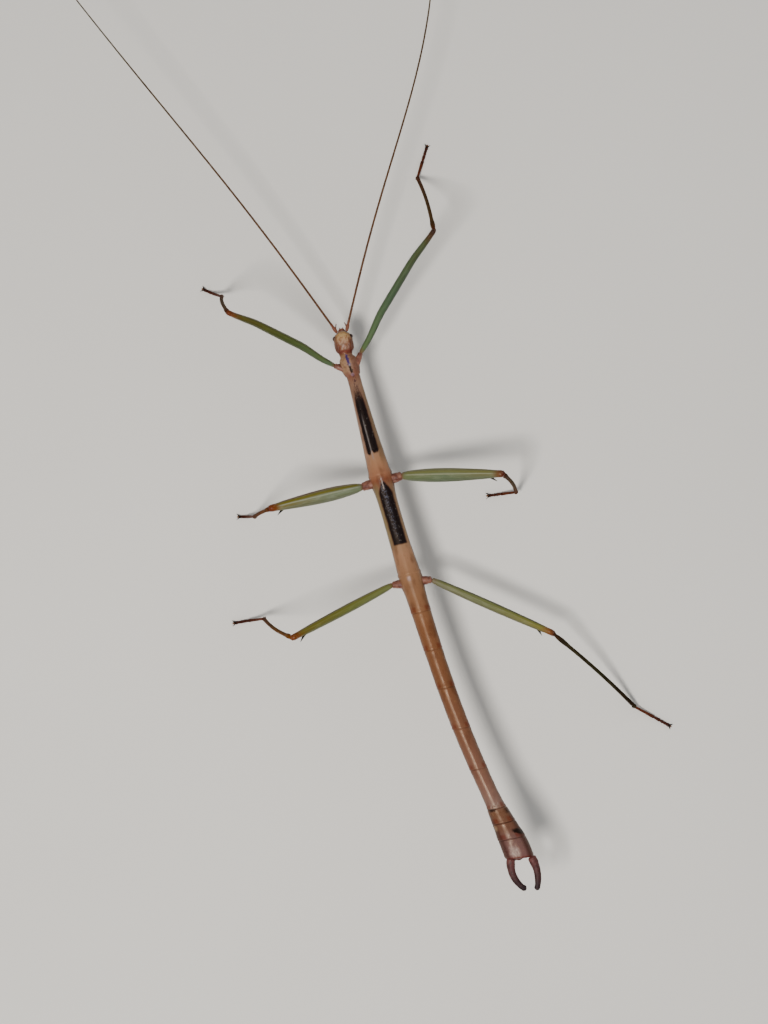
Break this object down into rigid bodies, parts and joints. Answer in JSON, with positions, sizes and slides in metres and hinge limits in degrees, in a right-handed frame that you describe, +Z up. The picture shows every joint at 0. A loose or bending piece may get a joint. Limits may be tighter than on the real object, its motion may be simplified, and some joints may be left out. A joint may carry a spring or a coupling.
{
  "type": "stick insect",
  "caption": "Life-size still model of a long slender wingless stick insect with thread feelers, tail claspers and long jointed legs, standing on its feet.",
  "frame": {"origin": "middle of the bounding box, feelers and legs included, at the floor under the feet", "axes": "+Z up from the floor; the body lies along Y with the head toward -Y and the claspers toward +Y; the animal's left side is +X"},
  "size_m": [0.0796, 0.188, 0.032],
  "materials": {
    "head": "glossy waxy cuticle",
    "thorax": "satin cuticle with dark stripes",
    "abdomen": "glossy cuticle",
    "tail": "satin cuticle",
    "eye": "glossy cornea",
    "feeler": "satin",
    "coxa": "satin",
    "femur_front": "satin",
    "femur_rear": "waxy satin",
    "tibia": "satin",
    "tarsus": "satin",
    "clasper": "satin, near black at the tip"
  },
  "bodies": {
    "root": {"abdomen_1": "abdomen", "abdomen_2": "abdomen", "abdomen_3": "abdomen", "abdomen_4": "abdomen", "abdomen_5": "abdomen", "abdomen_6": "abdomen", "abdomen_7": "tail", "abdomen_8": "tail", "abdomen_9_10": "tail", "clasper_left": "clasper", "clasper_right": "clasper", "eye_left": "eye", "eye_right": "eye", "feeler_base_left": "feeler", "feeler_base_right": "feeler", "feeler_left": "feeler", "feeler_right": "feeler", "genital_plate": "tail", "head": "head", "leg_front_left_coxa": "coxa", "leg_front_left_femur": "femur_front", "leg_front_left_tarsus": "tarsus", "leg_front_left_tibia": "tibia", "leg_front_right_coxa": "coxa", "leg_front_right_femur": "femur_front", "leg_front_right_tarsus": "tarsus", "leg_front_right_tibia": "tibia", "leg_hind_left_coxa": "coxa", "leg_hind_left_femur": "femur_rear", "leg_hind_left_tarsus": "tarsus", "leg_hind_left_tibia": "tibia", "leg_hind_right_coxa": "coxa", "leg_hind_right_femur": "femur_rear", "leg_hind_right_tarsus": "tarsus", "leg_hind_right_tibia": "tibia", "leg_mid_left_coxa": "coxa", "leg_mid_left_femur": "femur_rear", "leg_mid_left_tarsus": "tarsus", "leg_mid_left_tibia": "tibia", "leg_mid_right_coxa": "coxa", "leg_mid_right_femur": "femur_rear", "leg_mid_right_tarsus": "tarsus", "leg_mid_right_tibia": "tibia", "mesothorax": "thorax", "metathorax": "thorax", "prothorax": "thorax"}
  },
  "joints": []
}
